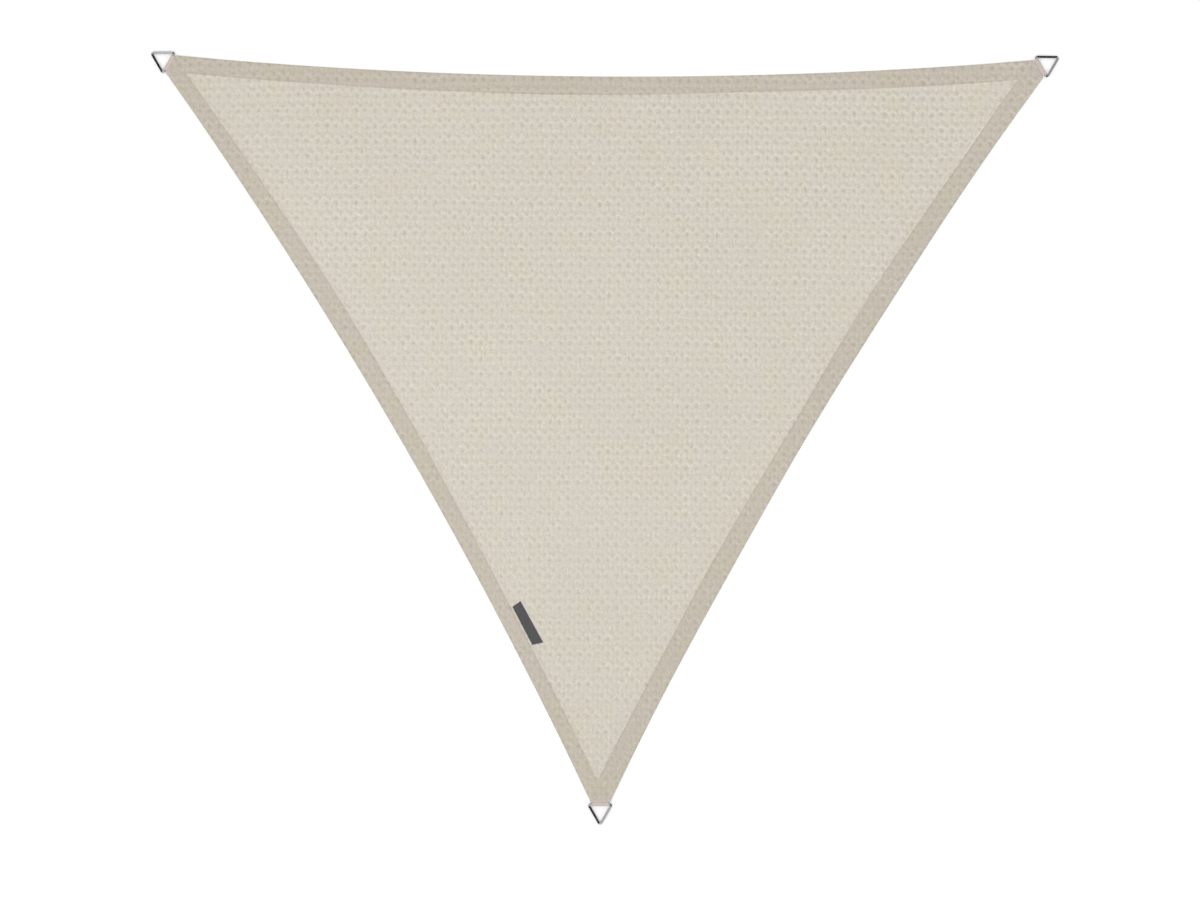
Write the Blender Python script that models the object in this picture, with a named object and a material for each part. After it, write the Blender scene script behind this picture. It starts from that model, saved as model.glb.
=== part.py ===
"""Triangular shade sail, lying flat: hemmed knitted cloth with a ring at each corner.

Units are metres and +Z is up. The underside of the cloth lies at z = 0, the edge between
two of the rings faces +Y, and the origin is below the middle of the whole part's box.
"""

import math
from collections import namedtuple

import bmesh
import bpy
from mathutils import Matrix, Vector

MM = 0.001

# Cut of the cloth: distances between the points where the hollow edges would meet.
BACK_SPAN = 2.520
SIDE_SPAN = 2.478
WAVES_PER_SIDE = 3

# Straight steps along each side, and how the ends of each run are found: in the outer
# part of the side, halving the range a number of times.
OUTLINE_STEPS = 30
END_RANGE = 0.2
HALVINGS = 40

# Thickness of the single knit, of the folded hem and of the doubled corner.
PANEL_THICKNESS = 1.2 * MM
HEM_THICKNESS = 3.0 * MM
CORNER_THICKNESS = 5.4 * MM
CORNER_LENGTH = 62 * MM
CORNER_RAMP = 48 * MM

# Strap that holds each ring: its width, the thickness of one leg and its hidden length.
STRAP_WIDTH = 45 * MM
STRAP_THICKNESS = 1.2 * MM
STRAP_DEPTH = 45 * MM
STRAP_MOUTH = 0.5 * MM
EYE_STEPS = 20

# Ring of round wire, bent to an even triangle. The side is measured between the sharp
# corners of the wire's centre line.
RING_SIDE = 66 * MM
RING_HALF_CORNER = math.radians(30)
RING_BEND_SWEEP = math.radians(120)
RING_WIRE = 6 * MM
RING_BEND = 4 * MM
RING_BEND_STEPS = 8
RING_WIRE_SIDES = 12
RING_TIP_LIFT = 0.1 * MM

# Label, sewn flat beside the left hem. Its middle is a fraction of the way along the side.
LABEL_THICKNESS = 0.9 * MM
LABEL_FRACTION = 0.7645
LABEL_DEPTH = 47.5 * MM

CLEARANCE = 0.3 * MM
CUT_OVERSHOOT = 20 * MM
WELD_DISTANCE = 0.001 * MM
SHARP_ANGLE = math.radians(35)
EMPTY_SIZE = 50 * MM

# Hem widths in mm, read at seven even stations from the side's start to its end.
# The wave is how far the outer edge wanders from its arc.
Side = namedtuple("Side", "start end edge_radius wave hem_widths")
SIDES = {
    "back": Side("left", "right", 13.64, 0.0, (47, 48, 50, 51, 47, 51, 52)),
    "right": Side("right", "front", 13.98, 0.9 * MM, (55, 54, 60, 52, 56, 55, 57)),
    "left": Side("left", "front", 13.66, 0.0, (45, 49, 55, 51, 45, 43, 42)),
}

# How far the squared end of the cloth lies short of the edges' meeting point, and how far
# the ring's inner bar lies outside that end.
Corner = namedtuple("Corner", "setback bar_out")
CORNERS = {
    "left": Corner(61 * MM, 6.5 * MM),
    "right": Corner(60 * MM, 9.5 * MM),
    "front": Corner(54.5 * MM, 6.0 * MM),
}

# Label corners in mm: along the side from the label's first near corner, and inward.
LabelCorner = namedtuple("LabelCorner", "along inward")
LABEL_CORNERS = (
    LabelCorner(0.0, 0.0),
    LabelCorner(119.5, 0.0),
    LabelCorner(128.0, 30.0),
    LabelCorner(-3.5, 27.0),
)

Finish = namedtuple("Finish", "colour roughness metallic")
FINISHES = {
    "shade_cloth": Finish((0.66, 0.61, 0.53), 0.85, 0.0),
    "strap_webbing": Finish((0.62, 0.53, 0.48), 0.80, 0.0),
    "stainless_wire": Finish((0.72, 0.72, 0.73), 0.18, 1.0),
    "label_weave": Finish((0.10, 0.10, 0.10), 0.75, 0.0),
}


def clear_scene():
    """Remove every object that the new file starts with."""
    for item in list(bpy.data.objects):
        bpy.data.objects.remove(item, do_unlink=True)


def new_collection(name):
    """Add a collection to the scene."""
    collection = bpy.data.collections.new(name)
    bpy.context.scene.collection.children.link(collection)
    return collection


def make_material(name):
    """Principled material from its row in the finish table."""
    finish = FINISHES[name]
    material = bpy.data.materials.new(name)
    material.use_nodes = True
    shader = material.node_tree.nodes["Principled BSDF"]
    shader.inputs["Base Color"].default_value = (*finish.colour, 1.0)
    shader.inputs["Roughness"].default_value = finish.roughness
    shader.inputs["Metallic"].default_value = finish.metallic
    return material


def make_empty(name, parent, collection):
    """Frame that carries other pieces."""
    empty = bpy.data.objects.new(name, None)
    empty.empty_display_size = EMPTY_SIZE
    empty.parent = parent
    collection.objects.link(empty)
    return empty


def make_cutter(item):
    """Mark an object as a cutting tool, which is not part of the sail."""
    item.hide_render = True
    item.display_type = "WIRE"


def add_spline(curve, points):
    """Add a closed run of straight segments to a curve."""
    spline = curve.splines.new("POLY")
    spline.points.add(len(points) - 1)
    for target, point in zip(spline.points, points):
        target.co = (*point, 0.0, 1.0)
    spline.use_cyclic_u = True


def flat_curve(name, outlines, thickness, collection):
    """Filled plan outline with an even thickness, centred on the curve's own plane."""
    curve = bpy.data.curves.new(name, "CURVE")
    curve.dimensions = "2D"
    curve.fill_mode = "BOTH"
    curve.extrude = thickness / 2
    for points in outlines:
        add_spline(curve, points)
    item = bpy.data.objects.new(name, curve)
    collection.objects.link(item)
    return item


def curve_to_mesh(item, name, collection):
    """Replace a curve object by one closed mesh of the same shape and place."""
    depsgraph = bpy.context.evaluated_depsgraph_get()
    mesh = bpy.data.meshes.new_from_object(item.evaluated_get(depsgraph))
    mesh.name = name
    shape = bmesh.new()
    shape.from_mesh(mesh)
    bmesh.ops.remove_doubles(shape, verts=shape.verts, dist=WELD_DISTANCE)
    bmesh.ops.recalc_face_normals(shape, faces=shape.faces)
    shape.to_mesh(mesh)
    shape.free()
    solid = bpy.data.objects.new(f"{name}_solid", mesh)
    solid.parent = item.parent
    solid.location = item.location
    solid.rotation_euler = item.rotation_euler
    collection.objects.link(solid)
    bpy.data.objects.remove(item, do_unlink=True)
    solid.name = name
    return solid


def cut(item, cutter):
    """Cut one closed solid out of another."""
    boolean = item.modifiers.new(cutter.name, "BOOLEAN")
    boolean.operation = "DIFFERENCE"
    boolean.solver = "EXACT"
    boolean.object = cutter
    make_cutter(cutter)


def meeting_points():
    """Plan points at which the three hollow edges would meet, by corner name."""
    half_span = BACK_SPAN / 2
    depth = math.sqrt(SIDE_SPAN ** 2 - half_span ** 2)
    return {
        "left": Vector((-half_span, depth / 2)),
        "right": Vector((half_span, depth / 2)),
        "front": Vector((0.0, -depth / 2)),
    }


def outward_direction(name, points):
    """Unit vector along a corner's bisector, away from the sail."""
    total = Vector((0.0, 0.0))
    for other, point in points.items():
        if other != name:
            total += (points[name] - point).normalized()
    return total.normalized()


Arc = namedtuple("Arc", "centre spoke sweep radius")


def edge_arc(side, points):
    """Arc of a side's edge. Its centre lies outside, so the edge bows into the sail."""
    start = points[side.start]
    end = points[side.end]
    chord = end - start
    middle = (start + end) / 2
    normal = Vector((chord.y, -chord.x)).normalized()
    if normal.dot(middle) < 0:
        normal = -normal
    half_chord = chord.length / 2
    centre = middle + normal * math.sqrt(side.edge_radius ** 2 - half_chord ** 2)
    spoke = (start - centre).normalized()
    sweep = 2 * math.asin(half_chord / side.edge_radius)
    if spoke.cross(end - centre) < 0:
        sweep = -sweep
    return Arc(centre, spoke, sweep, side.edge_radius)


def arc_point(arc, fraction, depth):
    """Point a fraction of the way along an arc, moved inward by a depth."""
    turned = Matrix.Rotation(fraction * arc.sweep, 2) @ arc.spoke
    return arc.centre + turned * (arc.radius + depth)


def fraction_and_depth(arc, point):
    """Fraction along an arc and inward depth of a plan point."""
    offset = point - arc.centre
    angle = math.atan2(arc.spoke.cross(offset), arc.spoke.dot(offset))
    return angle / arc.sweep, offset.length - arc.radius


def smooth_reading(values, fraction):
    """Value between evenly spaced readings, on a smooth curve through them."""
    last = len(values) - 1
    position = min(max(fraction, 0.0), 1.0) * last
    index = min(int(position), last - 1)
    t = position - index
    before = values[max(index - 1, 0)]
    here = values[index]
    there = values[index + 1]
    after = values[min(index + 2, last)]
    slope_here = (there - before) / 2
    slope_there = (after - here) / 2
    rise = there - here
    curve = slope_here - rise
    return here + t * rise + t * (1 - t) * ((1 - t) * curve - t * (slope_there - rise))


def hem_width(side, fraction):
    """Width of the hem, which wanders a little along each side."""
    return smooth_reading(side.hem_widths, fraction) * MM


def edge_wave(side, fraction):
    """Small wandering of the outer edge from its arc, inward positive."""
    return -side.wave * math.cos(2 * math.pi * WAVES_PER_SIDE * fraction)


def switch_point(test, low, high):
    """Fraction between low and high at which a test changes its answer."""
    first = test(low)
    for _ in range(HALVINGS):
        middle = (low + high) / 2
        if test(middle) == first:
            low = middle
        else:
            high = middle
    return (low + high) / 2


def side_run(point_at, start_test, end_test):
    """Evenly spaced points of a side between the places where its two tests change."""
    first = switch_point(start_test, 0.0, END_RANGE)
    last = switch_point(end_test, 1.0, 1.0 - END_RANGE)
    run = []
    for step in range(OUTLINE_STEPS + 1):
        run.append(point_at(first + (last - first) * step / OUTLINE_STEPS))
    return run


def outer_run(name, points, arcs):
    """Outer edge of one side, from one squared corner end to the next."""
    side = SIDES[name]

    def point_at(fraction):
        return arc_point(arcs[name], fraction, edge_wave(side, fraction))

    def beyond(corner, fraction):
        outward = outward_direction(corner, points)
        return (point_at(fraction) - points[corner]).dot(outward) > -CORNERS[corner].setback

    return side_run(point_at, lambda f: beyond(side.start, f), lambda f: beyond(side.end, f))


def inner_run(name, arcs):
    """Inner edge of one side's hem, from one inner corner to the next."""
    side = SIDES[name]

    def point_at(fraction):
        return arc_point(arcs[name], fraction, hem_width(side, fraction))

    def under_neighbour(corner, fraction):
        for other, other_side in SIDES.items():
            if other != name and corner in (other_side.start, other_side.end):
                along, depth = fraction_and_depth(arcs[other], point_at(fraction))
                return depth < hem_width(other_side, along)
        raise ValueError(corner)

    return side_run(
        point_at,
        lambda f: under_neighbour(side.start, f),
        lambda f: under_neighbour(side.end, f),
    )


def closed_outline(back, right, left):
    """One loop of points from the runs of the three sides, without repeated points."""
    loop = []
    for point in back + right + left[::-1]:
        if not loop or (point - loop[-1]).length > CLEARANCE:
            loop.append(point)
    if (loop[0] - loop[-1]).length < CLEARANCE:
        loop.pop()
    return loop


def line_crossing(point_a, normal_a, point_b, normal_b):
    """Crossing of two plan lines, each given by a point and its normal."""
    rows = Matrix((normal_a, normal_b))
    return rows.inverted() @ Vector((normal_a.dot(point_a), normal_b.dot(point_b)))


def ramp_triangle(points, back_off):
    """Triangle of the three lines that cross the corners, each back_off from its end."""
    lines = []
    for name, corner in CORNERS.items():
        outward = outward_direction(name, points)
        lines.append((points[name] - outward * (corner.setback + back_off), outward))
    return [line_crossing(*lines[i], *lines[(i + 1) % 3]) for i in range(3)]


def make_hem_cutter(points, root, collection):
    """Solid above the hem's top face. Its slanted ends leave a ramp up to each corner."""
    slope = CORNER_RAMP / (CORNER_THICKNESS - HEM_THICKNESS)
    top_rise = CORNER_THICKNESS - HEM_THICKNESS + CLEARANCE
    shape = bmesh.new()
    for rise in (0.0, top_rise):
        back_off = CORNER_LENGTH + CORNER_RAMP - rise * slope
        for point in ramp_triangle(points, back_off):
            shape.verts.new((*point, HEM_THICKNESS + rise))
    bmesh.ops.convex_hull(shape, input=shape.verts)
    mesh = bpy.data.meshes.new("hem_cutter")
    shape.to_mesh(mesh)
    shape.free()
    cutter = bpy.data.objects.new("hem_cutter", mesh)
    cutter.parent = root
    collection.objects.link(cutter)
    return cutter


def make_panel_cutter(arcs, root, collection):
    """Solid above the single knit inside the hem."""
    outline = closed_outline(*(inner_run(name, arcs) for name in ("back", "right", "left")))
    curve = flat_curve("panel_cutter", [outline], CUT_OVERSHOOT, collection)
    curve.location.z = PANEL_THICKNESS + CUT_OVERSHOOT / 2
    curve.parent = root
    return curve_to_mesh(curve, "panel_cutter", collection)


def make_box(name, size, collection):
    """Box with its sides along the axes, scale applied."""
    shape = bmesh.new()
    bmesh.ops.create_cube(shape, size=1.0)
    bmesh.ops.scale(shape, vec=size, verts=shape.verts)
    mesh = bpy.data.meshes.new(name)
    shape.to_mesh(mesh)
    shape.free()
    item = bpy.data.objects.new(name, mesh)
    collection.objects.link(item)
    return item


def make_pocket_cutter(index, frame, collection):
    """Slot between the corner's layers, in which the strap's hidden part lies."""
    height = 2 * STRAP_THICKNESS + 2 * CLEARANCE
    depth = STRAP_DEPTH + CLEARANCE
    size = (depth + CUT_OVERSHOOT, STRAP_WIDTH + 2 * CLEARANCE, height)
    cutter = make_box(f"pocket_cutter_{index}", size, collection)
    cutter.location = ((CUT_OVERSHOOT - depth) / 2, 0.0, PANEL_THICKNESS + height / 2)
    cutter.parent = frame
    return cutter


def make_sail_cloth(points, arcs, frames, root, collection, cutters):
    """Cloth with its folded hem and doubled corners, in one piece."""
    outline = closed_outline(*(outer_run(name, points, arcs) for name in ("back", "right", "left")))
    curve = flat_curve("sail_cloth", [outline], CORNER_THICKNESS, collection)
    curve.location.z = CORNER_THICKNESS / 2
    curve.parent = root
    cloth = curve_to_mesh(curve, "sail_cloth", collection)
    cut(cloth, make_hem_cutter(points, root, cutters))
    cut(cloth, make_panel_cutter(arcs, root, cutters))
    for index, frame in enumerate(frames, start=1):
        cut(cloth, make_pocket_cutter(index, frame, cutters))
    cloth.data.materials.append(make_material("shade_cloth"))
    return cloth


def make_corner_frames(points, root, collection):
    """Frame at the middle of each squared corner end, with +X pointing away from the sail."""
    frames = []
    for index, (name, corner) in enumerate(CORNERS.items(), start=1):
        outward = outward_direction(name, points)
        frame = make_empty(f"corner_frame_{index}", root, collection)
        place = points[name] - outward * corner.setback
        frame.location = (*place, 0.0)
        frame.rotation_euler.z = math.atan2(outward.y, outward.x)
        frames.append(frame)
    return frames


def eye_radius():
    """Outer radius of the strap where it wraps the ring."""
    return RING_WIRE / 2 + CLEARANCE + STRAP_THICKNESS


def tangent_angle(point, centre, radius, side):
    """Angle on a circle of the point where a line from an outside point touches it."""
    offset = point - centre
    return math.atan2(offset.y, offset.x) + side * math.acos(radius / offset.length)


def strap_profile(bar_out):
    """Side view of the strap: flat hidden legs that open into the eye round the ring."""
    radius = eye_radius()
    centre = Vector((bar_out, radius))
    low = PANEL_THICKNESS + CLEARANCE
    high = low + 2 * STRAP_THICKNESS
    mouth_low = Vector((STRAP_MOUTH, low))
    mouth_high = Vector((STRAP_MOUTH, high))
    first = tangent_angle(mouth_low, centre, radius, 1)
    last = tangent_angle(mouth_high, centre, radius, -1)
    sweep = (last - first) % (2 * math.pi)
    profile = [Vector((-STRAP_DEPTH, high)), Vector((-STRAP_DEPTH, low)), mouth_low]
    for step in range(EYE_STEPS + 1):
        angle = first + sweep * step / EYE_STEPS
        profile.append(centre + Vector((math.cos(angle), math.sin(angle))) * radius)
    profile.append(mouth_high)
    return profile


def eye_hole(bar_out):
    """Round hole of the eye, just wider than the ring's wire."""
    radius = (RING_WIRE / 2 + CLEARANCE) / math.cos(math.pi / EYE_STEPS)
    centre = Vector((bar_out, eye_radius()))
    angles = (2 * math.pi * step / EYE_STEPS for step in range(EYE_STEPS))
    return [centre + Vector((math.cos(a), math.sin(a))) * radius for a in angles]


def make_webbing(index, bar_out, frame, material, collection):
    """Strap that holds one ring."""
    name = f"webbing_{index}"
    outlines = [strap_profile(bar_out), eye_hole(bar_out)]
    curve = flat_curve(name, outlines, STRAP_WIDTH, collection)
    curve.rotation_euler.x = math.pi / 2
    curve.parent = frame
    webbing = curve_to_mesh(curve, name, collection)
    webbing.data.materials.append(material)
    webbing.data.shade_smooth()
    webbing.data.set_sharp_from_angle(angle=SHARP_ANGLE)
    return webbing


def ring_path():
    """Centre line of the ring, with its inner bar along Y and its tip towards +X."""
    tip_out = RING_SIDE * math.cos(RING_HALF_CORNER)
    sharp = [
        Vector((0.0, -RING_SIDE / 2)),
        Vector((tip_out, 0.0)),
        Vector((0.0, RING_SIDE / 2)),
    ]
    middle = Vector((tip_out / 3, 0.0))
    path = []
    for corner in sharp:
        outward = (corner - middle).normalized()
        bend_centre = corner - outward * (RING_BEND / math.sin(RING_HALF_CORNER))
        for step in range(RING_BEND_STEPS + 1):
            turn = RING_BEND_SWEEP * (step / RING_BEND_STEPS - 0.5)
            path.append(bend_centre + Matrix.Rotation(turn, 2) @ outward * RING_BEND)
    return path


def make_ring(index, bar_out, frame, material, collection):
    """Wire ring, its inner bar in the strap's eye and its tip just above the ground.

    The wire is turned by half a facet, so that flat facets face straight up and down.
    """
    name = f"ring_{index}"
    curve = bpy.data.curves.new(name, "CURVE")
    curve.dimensions = "3D"
    curve.bevel_depth = RING_WIRE / 2
    curve.bevel_resolution = RING_WIRE_SIDES // 2 - 2
    curve.twist_mode = "Z_UP"
    add_spline(curve, ring_path())
    half_facet = math.pi / RING_WIRE_SIDES
    for point in curve.splines[0].points:
        point.tilt = half_facet
    item = bpy.data.objects.new(name, curve)
    collection.objects.link(item)
    bar_height = eye_radius()
    reach = RING_SIDE * math.cos(RING_HALF_CORNER) - RING_BEND
    drop = bar_height - RING_WIRE / 2 * math.cos(half_facet) - RING_TIP_LIFT
    item.location = (bar_out, 0.0, bar_height)
    item.rotation_euler.y = math.asin(drop / reach)
    item.parent = frame
    ring = curve_to_mesh(item, name, collection)
    ring.data.materials.append(material)
    ring.data.shade_smooth()
    return ring


def make_side_label(arcs, root, collection):
    """Label that lies on the single knit, its near edge beside the left hem."""
    arc = arcs["left"]
    start = arc_point(arc, LABEL_FRACTION, LABEL_DEPTH)
    inward = (start - arc.centre).normalized()
    along = Vector((-inward.y, inward.x)) * math.copysign(1.0, arc.sweep)
    near_length = LABEL_CORNERS[1].along * MM
    outline = []
    for corner in LABEL_CORNERS:
        offset = along * (corner.along * MM - near_length / 2) + inward * corner.inward * MM
        outline.append(start + offset)
    curve = flat_curve("side_label", [outline], LABEL_THICKNESS, collection)
    curve.location.z = PANEL_THICKNESS + CLEARANCE + LABEL_THICKNESS / 2
    curve.parent = root
    label = curve_to_mesh(curve, "side_label", collection)
    label.data.materials.append(make_material("label_weave"))
    return label


def centre_on_origin(root, pieces):
    """Move the root so that the box of all pieces is centred over the origin."""
    bpy.context.view_layer.update()
    depsgraph = bpy.context.evaluated_depsgraph_get()
    places = []
    for piece in pieces:
        evaluated = piece.evaluated_get(depsgraph)
        places += [evaluated.matrix_world @ vertex.co for vertex in evaluated.data.vertices]
    for axis in (0, 1):
        values = [place[axis] for place in places]
        root.location[axis] -= (min(values) + max(values)) / 2


def main():
    """Build the sail."""
    clear_scene()
    collection = new_collection("shade_sail")
    cutters = new_collection("shade_sail_cutters")
    root = make_empty("sail_root", None, collection)
    points = meeting_points()
    arcs = {name: edge_arc(side, points) for name, side in SIDES.items()}
    frames = make_corner_frames(points, root, collection)
    webbing_material = make_material("strap_webbing")
    wire_material = make_material("stainless_wire")
    pieces = [make_sail_cloth(points, arcs, frames, root, collection, cutters)]
    for index, (corner, frame) in enumerate(zip(CORNERS.values(), frames), start=1):
        pieces.append(make_webbing(index, corner.bar_out, frame, webbing_material, collection))
        pieces.append(make_ring(index, corner.bar_out, frame, wire_material, collection))
    pieces.append(make_side_label(arcs, root, collection))
    centre_on_origin(root, pieces)


main()
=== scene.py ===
"""Looks of the triangular shade sail: knitted cloth with folded hems, stitching, corner
straps, wire rings and a bare side label, lying on a plain pale floor in soft light.

Units are metres and +Z is up. Plan sizes repeat the ones that the model is built from, and the
plan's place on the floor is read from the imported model.
"""

import math
from collections import namedtuple

import bpy
import numpy as np
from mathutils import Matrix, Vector
from mathutils.geometry import delaunay_2d_cdt


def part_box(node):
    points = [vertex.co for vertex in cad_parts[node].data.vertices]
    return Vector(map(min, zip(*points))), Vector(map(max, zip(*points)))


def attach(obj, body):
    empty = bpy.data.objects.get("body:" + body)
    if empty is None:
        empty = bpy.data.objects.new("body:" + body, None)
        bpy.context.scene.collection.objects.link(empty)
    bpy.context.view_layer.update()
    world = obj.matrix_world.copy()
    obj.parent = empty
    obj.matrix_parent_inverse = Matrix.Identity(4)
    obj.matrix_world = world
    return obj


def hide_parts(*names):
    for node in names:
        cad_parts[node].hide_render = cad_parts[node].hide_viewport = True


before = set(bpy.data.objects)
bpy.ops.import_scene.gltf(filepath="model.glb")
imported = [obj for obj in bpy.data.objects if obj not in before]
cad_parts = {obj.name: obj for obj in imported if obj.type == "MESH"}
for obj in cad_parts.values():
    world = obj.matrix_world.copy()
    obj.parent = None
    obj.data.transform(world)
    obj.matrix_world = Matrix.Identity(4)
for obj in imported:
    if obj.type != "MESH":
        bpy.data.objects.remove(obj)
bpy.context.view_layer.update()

MM = 0.001
TURN = 2 * math.pi


def table(columns, *rows):
    """Rows of values with named columns."""
    row_kind = namedtuple("Row", columns)
    return [row_kind(*row) for row in rows]


# Cut of the cloth: distances between the points where the hollow edges would meet.
BACK_SPAN = 2.520
SIDE_SPAN = 2.478

# Thickness of the single knit, of the folded hem and of the doubled corner.
PANEL_THICKNESS = 1.2 * MM
HEM_THICKNESS = 3.0 * MM
CORNER_THICKNESS = 5.4 * MM
CORNER_LENGTH = 62 * MM
CORNER_RAMP = 48 * MM

# Strap, ring and label, as in the solids, with the label's place and its size when flat.
STRAP_WIDTH = 45 * MM
STRAP_THICKNESS = 1.2 * MM
STRAP_DEPTH = 45 * MM
STRAP_MOUTH = 0.5 * MM
RING_SIDE = 66 * MM
RING_HALF_CORNER = math.radians(30)
RING_BEND_SWEEP = math.radians(120)
RING_WIRE = 6 * MM
RING_BEND = 4 * MM
RING_TIP_DROP = 1.502 * MM
LABEL_THICKNESS = 0.9 * MM
LABEL_LENGTH = 120 * MM
LABEL_WIDTH = 29 * MM
LABEL_FRACTION = 0.7645
LABEL_DEPTH = 47.5 * MM
CLEARANCE = 0.3 * MM

# Hem widths in mm, read at seven even stations from the side's start to its end.
# The wave is how far the outer edge wanders from its arc, so often along the side.
Side = namedtuple("Side", "start end edge_radius wave hem_widths")
SIDES = {
    "back": Side("left", "right", 13.64, 0.0, (47, 48, 50, 51, 47, 51, 52)),
    "right": Side("right", "front", 13.98, 0.9 * MM, (55, 54, 60, 52, 56, 55, 57)),
    "left": Side("left", "front", 13.66, 0.0, (45, 49, 55, 51, 45, 43, 42)),
}
WAVES_PER_SIDE = 3

# How far the squared end of the cloth lies short of the edges' meeting point, how far the ring's
# inner bar lies outside that end, and how much painted light the cloth and strap get there, which
# offsets the shade at the pocket's mouth.
Corner = namedtuple("Corner", "setback bar_out paler")
CORNERS = {
    "left": Corner(61 * MM, 6.5 * MM, 1.15),
    "right": Corner(60 * MM, 9.5 * MM, 0.1),
    "front": Corner(54.5 * MM, 6.0 * MM, 1.5),
}

# The outline's runs, anticlockwise from the left corner: each side, the way it is followed,
# and the corner whose squared end comes after it.
RUNS = table(
    "side way corner",
    ("left", 1, "front"),
    ("right", -1, "right"),
    ("back", -1, "left"),
)

# Where an edge meets a squared end: how far along the side to look, and halvings to find it.
END_RANGE = 0.2
HALVINGS = 40

# Label corners in mm: along the side from the label's first near corner, and inward.
LABEL_CORNERS = table(
    "along inward",
    (0.0, 0.0),
    (119.5, 0.0),
    (128.0, 30.0),
    (-3.5, 27.0),
)

# Steps of the cloth's mesh along a side and across a squared end, and its rounded edge.
SIDE_STEPS = 300
END_STEPS = 20
EDGE_INSET = 1.8 * MM
EDGE_ROW = 5 * MM
UNDERSIDE_STEP = 24 * MM

# Where the face cloth drops from the hem's fold to the single knit, the rows of mesh that
# follow the seam on the face and on the underside, and the fold's end between the first two
# of these, as distances into the panel. The last is the clear space beside rows.
DROP_WIDTH = 9 * MM
FACE_ROWS = tuple(x * MM for x in (-5.6, -4.1, -3.3, -2.5, -1.0, -0.1, 1.4, 3.6, 6.2, 9.2))
UNDER_ROWS = tuple(x * MM for x in (-0.35, 0.0, 3.0, 6.0, 9.0))
FOLD_END = -0.15 * MM
ROW_SPACE = 3 * MM

# Hem seam: how far it lies outside the fold's inner edge, and the cloth's give round it.
SEAM_INSET = 3.3 * MM
GROOVE_DEPTH = 0.45 * MM
GROOVE_WIDTH = 1.1 * MM
PUCKER_HEIGHT = 0.28 * MM
PUCKER_REACH = 11 * MM
PUCKER_LENGTHS = (17 * MM, 29 * MM, 61 * MM)

# Width of the change of colour at the fold's inner edge, and edge rows behind a squared end that
# get painted light, which offsets the shade there.
FOLD_BLUR = 2.2 * MM
PAINTED_LIGHT_ROWS = 1.3

# Fold's inner edge: a painted shadow line, then a painted highlight line. They are faint, but
# clear in places along the back hem: the middle and half length along X, and how clear the two
# lines are.
PAINTED_CREASE_LINES = table("into_panel spread", (-0.3 * MM, 0.7 * MM), (2.2 * MM, 1.4 * MM))
FAINT_PAINTED_SHADOW = 0.05
FAINT_PAINTED_HIGHLIGHT = 0.025
PAINTED_CREASE_PLACES = table(
    "middle reach dark light",
    (-0.17, 0.17, 0.95, 0.5),
    (1.03, 0.045, 0.0, 1.3),
)

# Knit repeat that shows from a distance, in rows that bow by so much over half the sail, and the
# marks in each repeat: their place in repeats from the main opening (across, down), their spread,
# and their tone, where 1 is about one hundredth of the cloth's brightness. The marks are the
# knit's pattern, and the dark ones are painted shade in its openings.
CELL_WIDTH = 27.2 * MM
CELL_HEIGHT = 43.2 * MM
CELL_ORIGIN = (-12.0 * MM, -1.0 * MM)
ROW_BOW = 8 * MM
ROW_BOW_HALF = 1.26
KNIT_MARKS = table(
    "across down wide high tone",
    (0.0, 0.02, 0.122, 0.098, -12.9),
    (0.5, 0.65, 0.098, 0.089, -9.1),
    (0.0, 0.45, 0.095, 0.047, -6.9),
    (0.2, 0.53, 0.12, 0.045, -5.0),
    (0.36, 0.6, 0.1, 0.05, -2.5),
    (-0.24, 0.29, 0.13, 0.06, 3.5),
    (0.26, 0.32, 0.1, 0.07, 7.0),
)
ARCH_DOWN = -0.2
ARCH_SWING = 0.08
ARCH_SHIFT = 0.06
ARCH_HIGH = 0.045
ARCH_TONE = 6.5

# Small even waves of tone that run through the repeats: how many times across and down in
# each repeat, their tone, and their shift in turns. They grow a little towards -Y.
KNIT_WAVES = table(
    "across down tone shift",
    (2, 0, 0.88, 0.37),
    (0, 2, 0.70, -0.16),
    (1, 0, 0.50, -0.03),
    (1, 1, 0.42, -0.12),
    (1, 3, 0.45, 0.44),
    (1, -3, 0.35, 0.51),
    (2, 2, 0.50, -0.09),
    (2, -2, 0.50, 0.21),
    (2, -1, 0.30, 0.01),
)
WAVE_SLOPE = -0.5

# Height that the marks give the mesh, and its columns and lines in each repeat.
RELIEF_PER_TONE = 0.022 * MM
FACE_COLUMNS = 4
FACE_LINES = 7

# Fine stitches of the knit, as parts of the large repeat: two legs of each braided wale, and the
# yarns that cross between the wales, as parts of a stitch. The mean is of the height, and the
# knit's colour follows that height as painted shade in its gaps and painted light on its yarns.
WALES_PER_CELL = 8
COURSES_PER_CELL = 16
BRAID_SWAY = 0.17
BRAID_SPREAD = 0.11
YARN_SPREAD = 0.16
YARN_HEIGHT = 0.7
KNIT_MEAN = 0.60
KNIT_PAINTED_SHADE = 22.0
STITCH_TONE = 12.0

# Noise layers, by noise scale and weight: how far the knit's rows wander, in metres, how its
# contrast varies, and how its tone does.
Layer = namedtuple("Layer", "scale weight")
KNIT_WANDER = (Layer(26.0, 15 * MM), Layer(2.2, 16 * MM))
WANDER_DETAIL = 1.0
CONTRAST_NOISE = (Layer(24.0, 2.4), Layer(6.0, 1.2))
TONE_NOISE = (Layer(3.0, 6.0), Layer(60.0, 5.0), Layer(230.0, 9.0))

# How the knit's contrast grows towards +X and +Y, and slow changes of the cloth's tone:
# along X, in opposite senses at the back and the front, and away from the middle line.
CONTRAST_SLOPE = (0.06, 0.14)
CONTRAST_MIDDLE = 1.02
LEAST_CONTRAST = 0.2
TONE_SLOPE = -3.0
TONE_TWIST = 3.2
TONE_BOW = -2.3

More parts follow.
